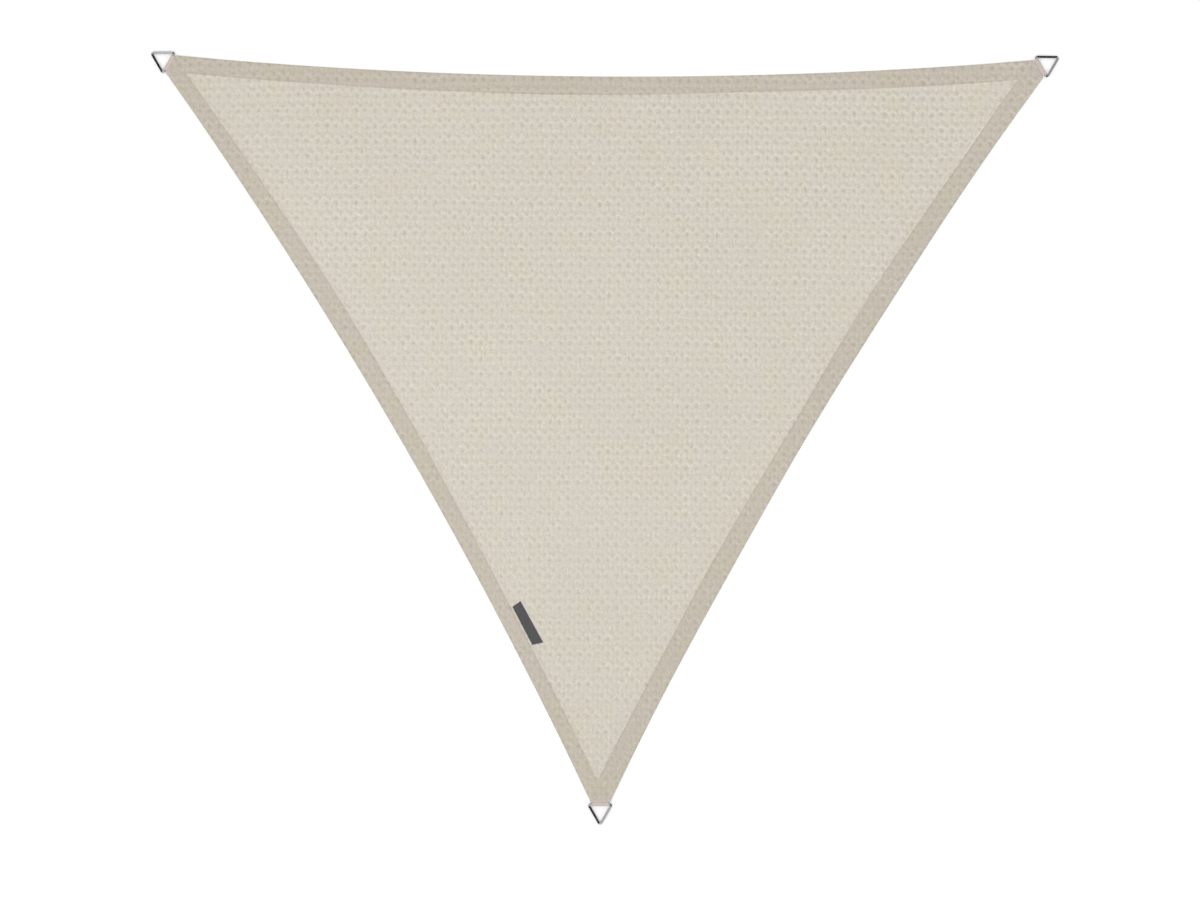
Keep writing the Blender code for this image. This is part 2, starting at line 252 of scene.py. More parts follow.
# Tone at the cloth's edge, the painted shadow and highlight lines at the fold's inner edge, and
# the painted light beside the squared ends, which offsets the shade there.
PLACE_TONES = {"edge": -6.0, "painted_crease": 14.0, "end": 9.0}

# Change of red, green and blue for each step of tone, and the uneven colour of the yarn.
TONE_STEPS = (0.0101, 0.0107, 0.0122)
RED_NOISE = Layer(9.0, 0.01)
WARM_NOISE = (Layer(18.0, 1.0), Layer(7.0, 1.0))
WARM_BLUE = -0.135
LEAST_WARM = -0.06

# Colours, in linear light.
PANEL_COLOUR = (0.610, 0.570, 0.494)
HEM_COLOUR = (0.519, 0.473, 0.398)
STRAP_COLOUR = (0.545, 0.452, 0.425)
LABEL_COLOUR = (0.0745, 0.072, 0.074)
LABEL_THREAD_COLOUR = (0.13, 0.13, 0.128)
THREAD_COLOUR = (0.47, 0.42, 0.35)
STEEL_COLOUR = (0.60, 0.60, 0.63)

# Camera: where it stands over the sail, its small turn, and its lens.
CAMERA_PLACE = (-0.0078, -0.0308)
CAMERA_HEIGHT = 7.894
CAMERA_TURN = math.radians(0.3236)
LENS = 85.0
SENSOR = 36.0


# ---- numbers and signals


def operator(operation, swapped=False):
    """Arithmetic operator of a signal, which makes a math node."""
    def apply(signal, other):
        return calc(operation, *((other, signal) if swapped else (signal, other)))
    return apply


class Signal:
    """Output of a shader node, so that formulas of it are written as plain arithmetic."""

    __array_ufunc__ = None
    __add__ = __radd__ = operator("ADD")
    __mul__ = __rmul__ = operator("MULTIPLY")
    __sub__ = operator("SUBTRACT")
    __rsub__ = operator("SUBTRACT", swapped=True)
    __truediv__ = operator("DIVIDE")

    def __init__(self, tree, socket):
        self.tree = tree
        self.socket = socket


def put(socket, value):
    """Link a socket to a signal, or set its value."""
    if isinstance(value, Signal):
        value.tree.links.new(value.socket, socket)
    else:
        socket.default_value = value


def new_signal(tree, kind, output, inputs=None, **settings):
    """Output of a new shader node with its inputs and settings."""
    node = tree.nodes.new(kind)
    for name, value in settings.items():
        setattr(node, name, value)
    for name, value in (inputs or {}).items():
        put(node.inputs[name], value)
    return Signal(tree, node.outputs[output])


def calc(operation, *values):
    """Result of a math node, from at least one signal."""
    tree = next(value.tree for value in values if isinstance(value, Signal))
    return new_signal(tree, "ShaderNodeMath", 0, dict(enumerate(values)), operation=operation)


def exp(value):
    """Exponential of numbers or of a signal."""
    return calc("EXPONENT", value) if isinstance(value, Signal) else np.exp(value)


def cos(value):
    """Cosine of numbers or of a signal."""
    return calc("COSINE", value) if isinstance(value, Signal) else np.cos(value)


def wrapped(value):
    """Numbers or a signal brought into the range from -0.5 to 0.5."""
    if isinstance(value, Signal):
        return calc("WRAP", value, 0.5, -0.5)
    return (value + 0.5) % 1.0 - 0.5


def bell(share):
    """Bell curve around 0, of numbers or of a signal."""
    return exp(-0.5 * share * share)


def hump(distance, spread):
    """Hump of height 1 around distance 0."""
    return np.exp(-((distance / spread) ** 2))


def unit(vector):
    """Vector of length 1 in the same direction."""
    return vector / np.linalg.norm(vector)


def smooth_step(value):
    """Smooth change from 0 to 1 as the value goes from 0 to 1."""
    value = np.clip(value, 0.0, 1.0)
    return value * value * (3 - 2 * value)


# ---- plan of the sail


def meeting_points():
    """World plan points at which the three hollow edges would meet, by corner name."""
    half_span = BACK_SPAN / 2
    depth = math.sqrt(SIDE_SPAN ** 2 - half_span ** 2)
    cloth_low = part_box("sail_cloth")[0]
    ring_low, ring_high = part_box("ring_3")
    middle = (ring_low[0] + ring_high[0]) / 2
    front = cloth_low[1] - CORNERS["front"].setback
    return {
        "left": np.array((middle - half_span, front + depth)),
        "right": np.array((middle + half_span, front + depth)),
        "front": np.array((middle, front)),
    }


def corner_frame(name):
    """Middle of a corner's squared end, and unit vectors outward and sideways from it."""
    total = np.zeros(2)
    for other, point in MEETING.items():
        if other != name:
            total += unit(MEETING[name] - point)
    outward = unit(total)
    place = MEETING[name] - outward * CORNERS[name].setback
    return place, outward, np.array((-outward[1], outward[0]))


def half_turned(angles):
    """Angles brought into the range from minus to plus half a turn."""
    return (angles + math.pi) % TURN - math.pi


Arc = namedtuple("Arc", "centre first_angle sweep radius length")


def edge_arc(side):
    """Arc of a side's edge. Its centre lies outside, so the edge bows into the sail."""
    start = MEETING[side.start]
    end = MEETING[side.end]
    chord = end - start
    middle = (start + end) / 2
    normal = unit(np.array((chord[1], -chord[0])))
    sail_middle = sum(MEETING.values()) / 3
    if normal @ (middle - sail_middle) < 0:
        normal = -normal
    half_chord = np.linalg.norm(chord) / 2
    centre = middle + normal * math.sqrt(side.edge_radius ** 2 - half_chord ** 2)
    first, last = [math.atan2(y, x) for x, y in (start - centre, end - centre)]
    sweep = half_turned(last - first)
    return Arc(centre, first, sweep, side.edge_radius, abs(sweep) * side.edge_radius)


def round_points(centre, radius, angles):
    """Points round a centre at angles, at one radius or at one for each angle."""
    return centre + np.stack((np.cos(angles) * radius, np.sin(angles) * radius), axis=1)


def arc_points(arc, fractions, depths):
    """Points at fractions along an arc, moved inward by depths."""
    return round_points(arc.centre, arc.radius + depths, arc.first_angle + arc.sweep * fractions)


def fractions_and_depths(arc, points):
    """Fractions along an arc and inward depths of plan points."""
    offsets = points - arc.centre
    angles = half_turned(np.arctan2(offsets[:, 1], offsets[:, 0]) - arc.first_angle)
    return angles / arc.sweep, np.linalg.norm(offsets, axis=1) - arc.radius


def smooth_reading(values, fractions):
    """Values between evenly spaced readings, on a smooth curve through them."""
    values = np.asarray(values, float)
    slopes = np.convolve(np.pad(values, 1, "edge"), (0.5, 0.0, -0.5), "valid")
    position = np.clip(fractions, 0.0, 1.0) * (len(values) - 1)
    index = np.minimum(position.astype(int), len(values) - 2)
    t = position - index
    here = values[index]
    rise = values[index + 1] - here
    curve = (1 - t) * (slopes[index] - rise) - t * (slopes[index + 1] - rise)
    return here + t * rise + t * (1 - t) * curve


def hem_widths(side, fractions):
    """Width of the hem, which wanders a little along each side."""
    return smooth_reading(side.hem_widths, fractions) * MM


def edge_waves(side, fractions):
    """Small wandering of the outer edge from its arc, inward positive."""
    return -side.wave * np.cos(TURN * WAVES_PER_SIDE * fractions)


def hem_row(name, steps, distance):
    """Points along a side, at a distance into the panel from its hem's inner edge."""
    fractions = np.linspace(0.0, 1.0, steps + 1)
    return arc_points(ARCS[name], fractions, hem_widths(SIDES[name], fractions) + distance)


def least_depth(points, line):
    """Least depth of plan points behind a line that follows each side."""
    nearest = np.full(len(points), np.inf)
    for name, side in SIDES.items():
        fractions, depths = fractions_and_depths(ARCS[name], points)
        nearest = np.minimum(nearest, depths - line(side, fractions))
    return nearest


def panel_distance(points):
    """Distance of plan points into the single knit, negative on a hem."""
    return least_depth(points, hem_widths)


def side_distance(points):
    """Distance of plan points inside the cloth's three long edges."""
    return least_depth(points, edge_waves)


def behind_end(name, points):
    """Distance of plan points behind a corner's squared end."""
    place, outward, _ = corner_frame(name)
    return (place - points) @ outward


def painted_end_light(points):
    """Painted light on the cloth beside each squared end, which offsets the shade there."""
    total = np.zeros(len(points))
    for name, corner in CORNERS.items():
        total += corner.paler * smooth_step(PAINTED_LIGHT_ROWS - behind_end(name, points) / EDGE_ROW)
    return total


def outline_distance(points):
    """Distance of plan points inside the cloth's outline."""
    behind_ends = [behind_end(name, points) for name in CORNERS]
    return np.min([side_distance(points), *behind_ends], axis=0)


def end_fraction(side_name, corner_name, inset, low, high):
    """Fraction at which an inset edge meets the inset squared end of a corner."""
    side = SIDES[side_name]
    for _ in range(HALVINGS):
        middle = np.array(((low + high) / 2,))
        point = arc_points(ARCS[side_name], middle, edge_waves(side, middle) + inset)
        if behind_end(corner_name, point)[0] < inset:
            low = middle[0]
        else:
            high = middle[0]
    return (low + high) / 2


def side_points(name, inset):
    """Points of one side's edge from one squared end to the other, at an inset."""
    side = SIDES[name]
    first = end_fraction(name, side.start, inset, 0.0, END_RANGE)
    last = end_fraction(name, side.end, inset, 1.0, 1.0 - END_RANGE)
    fractions = np.linspace(first, last, SIDE_STEPS + 1)
    return arc_points(ARCS[name], fractions, edge_waves(side, fractions) + inset)


def end_stations():
    """Places of the points across a squared end, close together at the pocket's sides."""
    half_pocket = STRAP_WIDTH / 2 + CLEARANCE
    inner = np.linspace(-1.0, 1.0, END_STEPS + 1) * half_pocket
    rim = half_pocket + CLEARANCE
    return np.concatenate(((-rim,), inner, (rim,)))


def outline(inset):
    """The cloth's outline at an inset, anticlockwise from the left corner's end."""
    loop = []
    for run in RUNS:
        place, outward, across = corner_frame(run.corner)
        loop.append(side_points(run.side, inset)[::run.way])
        loop.append(place - outward * inset + end_stations()[:, None] * across)
    return np.concatenate(loop)


def pocket_points():
    """For each outline point, whether it takes part in a pocket."""
    along_side = np.zeros(SIDE_STEPS + 1, bool)
    across_end = np.ones(END_STEPS + 3, bool)
    across_end[[0, -1]] = False
    return np.concatenate([along_side, across_end] * len(RUNS))


def path_length(path):
    """Length of a path."""
    return np.linalg.norm(np.diff(path, axis=0), axis=1).sum()


def even_places(path, steps):
    """Points at even steps along a path."""
    legs = np.linalg.norm(np.diff(path, axis=0), axis=1)
    along = np.concatenate(((0.0,), np.cumsum(legs)))
    stations = np.linspace(0.0, along[-1], steps + 1)
    return np.stack([np.interp(stations, along, path[:, axis]) for axis in (0, 1)], axis=1)


# ---- the knit's large repeat


def cell_places(x, y):
    """Places in knit repeats, of numbers or signals: across, and down along the bowed rows."""
    share = x / ROW_BOW_HALF
    bow = ROW_BOW * (1 - share * share)
    return (x - CELL_ORIGIN[0]) / CELL_WIDTH, (CELL_ORIGIN[1] + bow - y) / CELL_HEIGHT


def knit_tones(across, down):
    """Tone of the repeat's arches and marks, from numbers or signals. Its dark marks are painted
    shade in the knit's openings.
    """
    arch = ARCH_DOWN - ARCH_SWING * cos(TURN * (across + ARCH_SHIFT))
    total = ARCH_TONE * bell(wrapped(down - arch) / ARCH_HIGH)
    for mark in KNIT_MARKS:
        aside = wrapped(across - mark.across) / mark.wide
        below = wrapped(down - mark.down) / mark.high
        total += mark.tone * exp(-0.5 * (aside * aside + below * below))
    return total


def knit_waves(across, down):
    """Sum of the small even waves of tone."""
    total = 0.0
    for wave in KNIT_WAVES:
        turns = wave.across * across + wave.down * down + wave.shift
        total += wave.tone * cos(TURN * turns)
    return total


# ---- heights of the cloth


def puckers(points):
    """Small gathers in the cloth along the hem seams."""
    total = np.zeros(len(points))
    for index, (name, side) in enumerate(SIDES.items()):
        arc = ARCS[name]
        fractions, depths = fractions_and_depths(arc, points)
        from_seam = depths - hem_widths(side, fractions) + SEAM_INSET
        along = fractions * arc.length
        wave = np.ones(len(points))
        for number, length in enumerate(PUCKER_LENGTHS):
            wave *= np.sin(TURN * along / length + index + 2 * number)
        total += wave * hump(from_seam, PUCKER_REACH)
    return PUCKER_HEIGHT * total


def even_top(points):
    """Height of the face without its gathers and knit."""
    hem = np.full(len(points), HEM_THICKNESS)
    for name in CORNERS:
        near = smooth_step((CORNER_LENGTH + CORNER_RAMP - behind_end(name, points)) / CORNER_RAMP)
        hem += (CORNER_THICKNESS - HEM_THICKNESS) * near
    drop = smooth_step(1 - panel_distance(points) / DROP_WIDTH)
    return PANEL_THICKNESS + (hem - PANEL_THICKNESS) * drop


def top_height(points):
    """Height of the face."""
    groove = GROOVE_DEPTH * hump(panel_distance(points) + SEAM_INSET, GROOVE_WIDTH)
    relief = RELIEF_PER_TONE * knit_tones(*cell_places(*points.T))
    return even_top(points) - groove + puckers(points) + relief


def under_height(points):
    """Height of the underside, which lies flat but for the drop inside the fold's edge."""
    lift = even_top(points) - PANEL_THICKNESS
    return np.where(panel_distance(points) < FOLD_END, 0.0, lift)


def painted_crease_tones(points):
    """Thin painted shadow and highlight lines at the fold's inner edge, clear in places."""
    into_panel = panel_distance(points)
    dark, light = [hump(into_panel - line.into_panel, line.spread) for line in PAINTED_CREASE_LINES]
    total = FAINT_PAINTED_HIGHLIGHT * light - FAINT_PAINTED_SHADOW * dark
    for painted_crease in PAINTED_CREASE_PLACES:
        window = np.exp(-(((points[:, 0] - painted_crease.middle) / painted_crease.reach) ** 4))
        total += (painted_crease.light * light - painted_crease.dark * dark) * window * (points[:, 1] > 0)
    return total


# ---- mesh helpers


# Filling of a plan loop: only its inside is kept, and points this near are one point.
INSIDE_ONLY = 1
SAME_POINT = 1e-7

# Angles over which an edge shows as sharp.
SHARP_CLOTH = math.radians(50)
SHARP_WEAVE = math.radians(60)

# Space kept clear inside the outline, and how far a row may stray over another side's.
EDGE_CLEAR = EDGE_ROW + ROW_SPACE
ROW_TOLERANCE = CLEARANCE / 10


def link_mesh(name, points, faces, material, sharp_angle=None):
    """Add a smooth-shaded mesh object with one material."""
    mesh = bpy.data.meshes.new(name)
    mesh.from_pydata([tuple(point) for point in points], [], faces)
    mesh.materials.append(material)
    mesh.shade_smooth()
    if sharp_angle is not None:
        mesh.set_sharp_from_angle(angle=sharp_angle)
    mesh.validate()
    item = bpy.data.objects.new(name, mesh)
    bpy.context.scene.collection.objects.link(item)
    return item


def add_attribute(item, name, values):
    """Store one number, or one vector, at each point of a mesh."""
    values = np.asarray(values, np.float32)
    kind, field = ("FLOAT", "value") if values.ndim == 1 else ("FLOAT_VECTOR", "vector")
    item.data.attributes.new(name, kind, "POINT").data.foreach_set(field, values.ravel())


def filled_plan(loop, inner):
    """Triangles that fill a plan loop and use the inner points too.

    Returns the points, the triangles and the number of each loop point in them.
    """
    points = [Vector(point) for point in np.concatenate((loop, inner))]
    face = list(range(len(loop)))
    found, _, triangles, origins, _, owners = delaunay_2d_cdt(
        points, [], [face], INSIDE_ONLY, SAME_POINT, True
    )
    number_of = {source: number for number, group in enumerate(origins) for source in group}
    inside = [tuple(triangle) for triangle, owner in zip(triangles, owners) if owner]
    return np.array(found), inside, [number_of[i] for i in face]


def seam_rows(distances):
    """Points in rows that follow the seams at distances into the panel."""
    rows = []
    for distance in distances:
        for name in SIDES:
            row = hem_row(name, SIDE_STEPS, distance)
            is_nearest = panel_distance(row) > distance - ROW_TOLERANCE
            is_inside = outline_distance(row) > EDGE_CLEAR
            rows.append(row[is_nearest & is_inside])
    return np.concatenate(rows)


def lattice(step_across, step_down, rows):
    """Points in staggered lines over the sail, clear of the edge and of the seam rows."""
    low = np.min(list(MEETING.values()), axis=0)
    high = np.max(list(MEETING.values()), axis=0)
    lines = []
    for number, down in enumerate(np.arange(low[1], high[1], step_down)):
        shift = step_across / 2 * (number % 2)
        across = np.arange(low[0] + shift, high[0], step_across)
        lines.append(np.stack((across, np.full(len(across), down)), axis=1))
    points = np.concatenate(lines)
    points = points[outline_distance(points) > EDGE_CLEAR]
    into_panel = panel_distance(points)
    in_rows = (into_panel > min(rows) - ROW_SPACE) & (into_panel < max(rows) + ROW_SPACE)
    return points[~in_rows]


def slab_faces(lines, columns):
    """Faces of a closed slab whose two sides are grids of points, one after the other."""
    width = columns + 1
    half = width * (lines + 1)
    faces = []
    for line in range(lines):
        for column in range(columns):
            a = line * width + column
            b = half + a
            faces.append((a, a + 1, a + 1 + width, a + width))
            faces.append((b, b + width, b + width + 1, b + 1))
    rim = list(range(width))
    rim += [line * width + columns for line in range(1, lines + 1)]
    rim += [lines * width + column for column in range(columns - 1, -1, -1)]
    rim += [line * width for line in range(lines - 1, 0, -1)]
    for near, far in zip(rim, rim[1:] + rim[:1]):
        faces.append((near, half + near, half + far, far))
    return faces


def right_of(directions):
    """Unit vectors to the right of plan directions."""
    normals = np.stack((directions[:, 1], -directions[:, 0]), axis=1)
    return normals / np.linalg.norm(directions, axis=1)[:, None]


def rounded_edge(share, least):
    """How thick a woven piece is near its edge, as a part, on a quarter circle."""
    return np.sqrt(1 - (1 - np.clip(share, least, 1.0)) ** 2)


# ---- cloth


# Section of the cloth's edge from the face down to the underside: its inset, its height as
# a part of the thickness, and where it runs in a pocket, its inset and height there.
POCKET_LIP = 0.25 * MM
POCKET_ROOF = PANEL_THICKNESS + 2 * STRAP_THICKNESS + 2 * CLEARANCE
POCKET_DEPTH = STRAP_DEPTH + CLEARANCE
WALL_ROWS = table(
    "inset height pocket_inset pocket_height",
    (0.55 * MM, 0.86, 0.4 * MM, CORNER_THICKNESS - 0.3 * MM),
    (0.1 * MM, 0.66, 0.0, POCKET_ROOF + POCKET_LIP),
    (0.0, 0.54, POCKET_LIP, POCKET_ROOF),
    (0.0, 0.51, POCKET_DEPTH, POCKET_ROOF),
    (0.0, 0.49, POCKET_DEPTH, PANEL_THICKNESS),
    (0.0, 0.46, POCKET_LIP, PANEL_THICKNESS),
    (0.1 * MM, 0.34, 0.0, PANEL_THICKNESS - POCKET_LIP),
    (0.55 * MM, 0.14, 0.4 * MM, 0.3 * MM),
)


def pocket_outline(inset):
    """The cloth's outline with its squared ends moved straight back into their pockets."""
    loop = outline(0.0)
    per_run = len(loop) // len(RUNS)
    for number, run in enumerate(RUNS):
        start = number * per_run + SIDE_STEPS + 1
        loop[start:start + END_STEPS + 3] -= corner_frame(run.corner)[1] * inset
    return loop


def make_cloth(material):
    """The sail's cloth: one closed sheet with its hems and doubled corners."""
    rim = outline(EDGE_INSET)
    face_lattice = lattice(CELL_WIDTH / FACE_COLUMNS, CELL_HEIGHT / FACE_LINES, FACE_ROWS)
    face_inner = np.concatenate((outline(EDGE_ROW), seam_rows(FACE_ROWS), face_lattice))
    under_lattice = lattice(UNDERSIDE_STEP, UNDERSIDE_STEP, UNDER_ROWS)
    under_inner = np.concatenate((seam_rows(UNDER_ROWS), under_lattice))
    face_plan, face_triangles, face_rim = filled_plan(rim, face_inner)
    under_plan, under_triangles, under_rim = filled_plan(rim, under_inner)
    face = np.column_stack((face_plan, top_height(face_plan)))
    under = np.column_stack((under_plan, under_height(under_plan)))
    thickness = face[face_rim, 2]
    in_pocket = pocket_points()
    blocks = [face]
    rows = [face_rim]
    count = len(face)
    for row in WALL_ROWS:
        plan = np.where(in_pocket[:, None], pocket_outline(row.pocket_inset), outline(row.inset))
        heights = np.where(in_pocket, row.pocket_height, row.height * thickness)
        blocks.append(np.column_stack((plan, heights)))
        rows.append(list(range(count, count + len(plan))))
        count += len(plan)
    blocks.append(under)
    rows.append([count + number for number in under_rim])
    faces = list(face_triangles)
    faces += [tuple(count + number for number in reversed(t)) for t in under_triangles]
    for upper, lower in zip(rows, rows[1:]):
        for i in range(len(rim)):
            j = (i + 1) % len(rim)
            faces.append((upper[i], lower[i], lower[j], upper[j]))
    points = np.concatenate(blocks)
    plan = points[:, :2]
    cloth = link_mesh("knitted_cloth", points, faces, material, SHARP_CLOTH)
    add_attribute(cloth, "doubled", smooth_step(0.5 - panel_distance(plan) / FOLD_BLUR))
    add_attribute(cloth, "edge", smooth_step(1 - side_distance(plan) / EDGE_ROW))
    # Painted shadow and highlight lines at the fold's inner edge, and painted light beside the
    # squared ends.
    add_attribute(cloth, "painted_crease", painted_crease_tones(plan))
    add_attribute(cloth, "end", painted_end_light(plan))
    return cloth


# ---- stitches


# Rings of points that shape one stitch: their place along it as a part of its length, and
# their width and lift as parts of the thread's radius.
STITCH_SIDES = 5
STITCH_RINGS = table(
    "along wide lift",
    (-0.5, 0.35, -0.8),
    (-0.3, 1.0, 0.15),
    (0.0, 1.05, 0.5),
    (0.3, 1.0, 0.15),
    (0.5, 0.35, -0.8),
)

# Seams: the step from stitch to stitch, the thread's radius, and the gap between stitches.
Seam = namedtuple("Seam", "pitch radius gap")
HEM_SEAM = Seam(4.2 * MM, 0.42 * MM, 0.7 * MM)
CORNER_SEAM = Seam(3.6 * MM, 0.42 * MM, 0.6 * MM)
LABEL_EDGE_SEAM = Seam(3.0 * MM, 0.28 * MM, 0.5 * MM)

# Crossed box of stitching at each corner: how far behind the end it starts and stops, half
# its width, and the pairs of its four corners that a line of stitches joins.
BOX_NEAR = 7 * MM
BOX_FAR = 41 * MM
BOX_HALF_WIDTH = 17 * MM
BOX_LINES = ((0, 1), (1, 2), (2, 3), (3, 0), (0, 2), (1, 3))


def make_stitches(name, paths, seam, height_at, material):
    """Rows of thread stitches as one mesh. Each dips into the cloth at both ends."""
    points = []
    faces = []
    for path in paths:
        places = even_places(path, max(int(round(path_length(path) / seam.pitch)), 1))
        middles = (places[1:] + places[:-1]) / 2
        for middle, step, height in zip(middles, np.diff(places, axis=0), height_at(middles)):
            length = np.linalg.norm(step)
            forward = step / length
            across = np.array((-forward[1], forward[0]))
            base = len(points)
            for ring in STITCH_RINGS:
                centre = middle + forward * ring.along * (length - seam.gap)
                for side in range(STITCH_SIDES):
                    angle = TURN * (side + 0.5) / STITCH_SIDES
                    flat = centre + across * math.cos(angle) * seam.radius * ring.wide
                    rise = ring.lift + ring.wide * math.sin(angle)
                    points.append((*flat, height + seam.radius * rise))
            last = len(points) - STITCH_SIDES
            for start in range(base, last, STITCH_SIDES):
                for side in range(STITCH_SIDES):
                    a = start + side
                    b = start + (side + 1) % STITCH_SIDES
                    faces.append((a, b, b + STITCH_SIDES, a + STITCH_SIDES))
            faces.append(tuple(range(base + STITCH_SIDES - 1, base - 1, -1)))
            faces.append(tuple(range(last, last + STITCH_SIDES)))
    return link_mesh(name, points, faces, material)


def hem_seam_paths():
    """The three seams that hold the hems, up to where they cross."""
    rows = [hem_row(name, 2 * SIDE_STEPS, -SEAM_INSET) for name in SIDES]
    return [row[panel_distance(row) > -SEAM_INSET - ROW_TOLERANCE] for row in rows]


def corner_seam_paths():
    """A crossed box of stitching at each corner, through the cloth and the strap inside."""
    paths = []
    for name in CORNERS:
        place, outward, across = corner_frame(name)
        near = place - outward * BOX_NEAR
        far = place - outward * BOX_FAR
        aside = across * BOX_HALF_WIDTH
        box = np.array((near - aside, near + aside, far + aside, far - aside))
        paths += [box[list(pair)] for pair in BOX_LINES]
    return paths


# ---- straps and rings


# Strap: the gap between its legs, steps round the ring's bar, steps along its whole middle
# line and across it, and rounds of smoothing. How far into the pocket each step is kept, and
# how many are taken as one further in.
LEG_GAP = 0.02 * MM
BAR_STEPS = 24
STRAP_STEPS = 220
STRAP_COLUMNS = 72
SMOOTHING_ROUNDS = 4
FINE_REACH = 12 * MM
HIDDEN_STEP = 8

# The weave's broad ribs, its rounded edge, and how far short of the bar the painted light at the
# mouth ends.
STRAP_RIB = 2.6 * MM
STRAP_RIB_HEIGHT = 0.10 * MM
SELVEDGE = 1.2 * MM
SELVEDGE_LEAST = 0.06
MOUTH_END = 1.5 * MM

# Ring: steps round the wire, round each bend and along each bar, and how much thinner the
# round wire is than the solid's.
RING_WIRE_SIDES = 28
RING_BEND_STEPS = 12
RING_LEG_STEPS = 8
RING_SLACK = 0.03 * MM
EYE_RADIUS = RING_WIRE / 2 + CLEARANCE + STRAP_THICKNESS


def from_corner(name, local):
    """World points from a corner's own outward, sideways and height values."""
    place, outward, across = corner_frame(name)
    plan = place + local[:, :1] * outward + local[:, 1:2] * across
    return np.column_stack((plan, local[:, 2]))


def strap_line(bar_out):
    """Side view of the strap's middle line: in along the floor side, round, and back."""
    radius = EYE_RADIUS - STRAP_THICKNESS / 2
    centre = np.array((bar_out, EYE_RADIUS))
    low = PANEL_THICKNESS + CLEARANCE + STRAP_THICKNESS / 2
    high = low + STRAP_THICKNESS + LEG_GAP
    ends = []
    for mouth_height, side in ((low, 1), (high, -1)):
        offset = np.array((STRAP_MOUTH, mouth_height)) - centre
        touch = side * math.acos(radius / np.linalg.norm(offset))
        ends.append(math.atan2(offset[1], offset[0]) + touch)
    angles = ends[0] + (ends[1] - ends[0]) % TURN * np.linspace(0.0, 1.0, BAR_STEPS + 1)
    corners = np.concatenate((
        ((-STRAP_DEPTH, low), (STRAP_MOUTH, low)),
        round_points(centre, radius, angles),
        ((STRAP_MOUTH, high), (-STRAP_DEPTH, high)),
    ))
    line = even_places(corners, STRAP_STEPS)
    for _ in range(SMOOTHING_ROUNDS):
        line[1:-1] = (line[:-2] + 2 * line[1:-1] + line[2:]) / 4
    return line, path_length(corners)


def make_strap(index, name, material):
    """Woven strap that wraps the ring's inner bar, its two ends inside the corner."""
    corner = CORNERS[name]
    line, length = strap_line(corner.bar_out)
    stations = np.arange(len(line))
    keep = (line[:, 0] > -FINE_REACH) | (stations % HIDDEN_STEP == 0)
    keep[-1] = True
    along = stations[keep] * length / STRAP_STEPS
    normals = right_of(np.gradient(line, axis=0)[keep])
    line = line[keep]
    across = np.linspace(-STRAP_WIDTH / 2, STRAP_WIDTH / 2, STRAP_COLUMNS + 1)
    from_edge = STRAP_WIDTH / 2 - np.abs(across)
    ribs = STRAP_RIB_HEIGHT * (0.5 - 0.5 * np.cos(TURN * across / STRAP_RIB))
    half = (STRAP_THICKNESS / 2 - ribs) * rounded_edge(from_edge / SELVEDGE, SELVEDGE_LEAST)
    points = []
    marks = []
    for side in (1, -1):
        for place, normal, distance in zip(line, normals, along):
            # Painted light up to just short of the bar, which offsets the shade between the
            # cloth's end and the ring's eye.
            paler = corner.paler * (place[0] < corner.bar_out - MOUTH_END)
            for aside, depth in zip(across, half):
                flat = place + normal * side * depth
                points.append((flat[0], aside, flat[1]))
                marks.append((aside, distance, paler))
    world = from_corner(name, np.array(points))
    faces = slab_faces(len(line) - 1, STRAP_COLUMNS)
    strap = link_mesh(f"strap_{index}", world, faces, material, SHARP_WEAVE)
    add_attribute(strap, "strap_place_and_painted_light", marks)
    return strap, length


def ring_line():
    """Middle line of the ring's wire, with its inner bar sideways and its tip outward."""
    tip_out = RING_SIDE * math.cos(RING_HALF_CORNER)
    middle = np.array((tip_out / 3, 0.0))
    bends = []
    for sharp in ((0.0, -RING_SIDE / 2), (tip_out, 0.0), (0.0, RING_SIDE / 2)):
        outward = unit(sharp - middle)
        centre = sharp - outward * (RING_BEND / math.sin(RING_HALF_CORNER))
        first = math.atan2(outward[1], outward[0]) - RING_BEND_SWEEP / 2
        angles = first + RING_BEND_SWEEP * np.linspace(0.0, 1.0, RING_BEND_STEPS + 1)
        bends.append(round_points(centre, RING_BEND, angles))
    shares = np.arange(1, RING_LEG_STEPS)[:, None] / RING_LEG_STEPS
    line = []
    for bend, following in zip(bends, bends[1:] + bends[:1]):
        line += [bend, bend[-1] + (following[0] - bend[-1]) * shares]
    return np.concatenate(line)


def make_ring(index, name, material):
    """Wire ring, its inner bar in the strap's eye and its tip just above the floor."""
    line = ring_line()
    sideways = right_of(np.roll(line, -1, axis=0) - np.roll(line, 1, axis=0))
    radius = RING_WIRE / 2 - RING_SLACK
    tilt = math.asin(RING_TIP_DROP / (RING_SIDE * math.cos(RING_HALF_CORNER) - RING_BEND))
    points = []
    for place, aside in zip(line, sideways):
        for step in range(RING_WIRE_SIDES):
            angle = TURN * step / RING_WIRE_SIDES
            flat = place + aside * radius * math.cos(angle)
            height = radius * math.sin(angle)
            out = flat[0] * math.cos(tilt) + height * math.sin(tilt)
            up = height * math.cos(tilt) - flat[0] * math.sin(tilt)
            points.append((CORNERS[name].bar_out + out, flat[1], EYE_RADIUS + up))
    faces = []
    for near in range(0, len(points), RING_WIRE_SIDES):
        far = (near + RING_WIRE_SIDES) % len(points)
        for step in range(RING_WIRE_SIDES):
            following = (step + 1) % RING_WIRE_SIDES
            faces.append((near + step, far + step, far + following, near + following))
    return link_mesh(f"wire_ring_{index}", from_corner(name, np.array(points)), faces, material)


# ---- label


